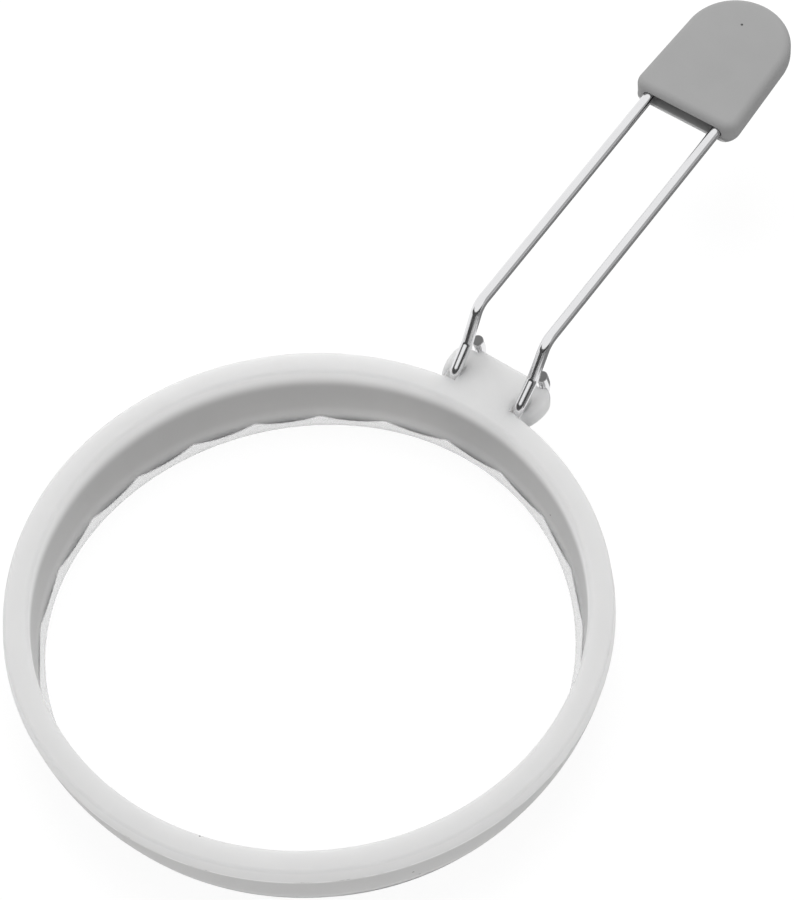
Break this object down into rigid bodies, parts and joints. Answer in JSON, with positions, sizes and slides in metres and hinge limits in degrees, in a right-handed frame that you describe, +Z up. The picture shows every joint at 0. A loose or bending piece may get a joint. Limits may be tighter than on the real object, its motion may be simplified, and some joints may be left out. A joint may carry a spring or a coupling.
{
  "type": "egg ring",
  "caption": "Round silicone egg ring with a scalloped sealing lip and a fold-up bent wire handle that ends in a flat silicone grip.",
  "frame": {"origin": "under the middle of the whole part: halfway from the ring's far side to the grip's end, on the plane of the ring's lower face", "axes": "+Z up out of the ring, +X from the ring's middle towards the grip, Y across the handle"},
  "size_m": [0.2438, 0.1308, 0.0409],
  "materials": {
    "white_silicone": "satin translucent white silicone",
    "polished_steel": "polished stainless wire",
    "grey_silicone": "matt grey silicone"
  },
  "bodies": {
    "ring": {"silicone_ring": "white_silicone"},
    "handle": {"handle_wire": "polished_steel", "grip_sleeve": "grey_silicone"}
  },
  "joints": [
    {"name": "handle_hinge", "type": "hinge", "parent": "ring", "child": "handle", "pos_m": [0.01449, 0, 0.0153], "axis": [0, -1, 0], "range_deg": [-15, 44]}
  ]
}
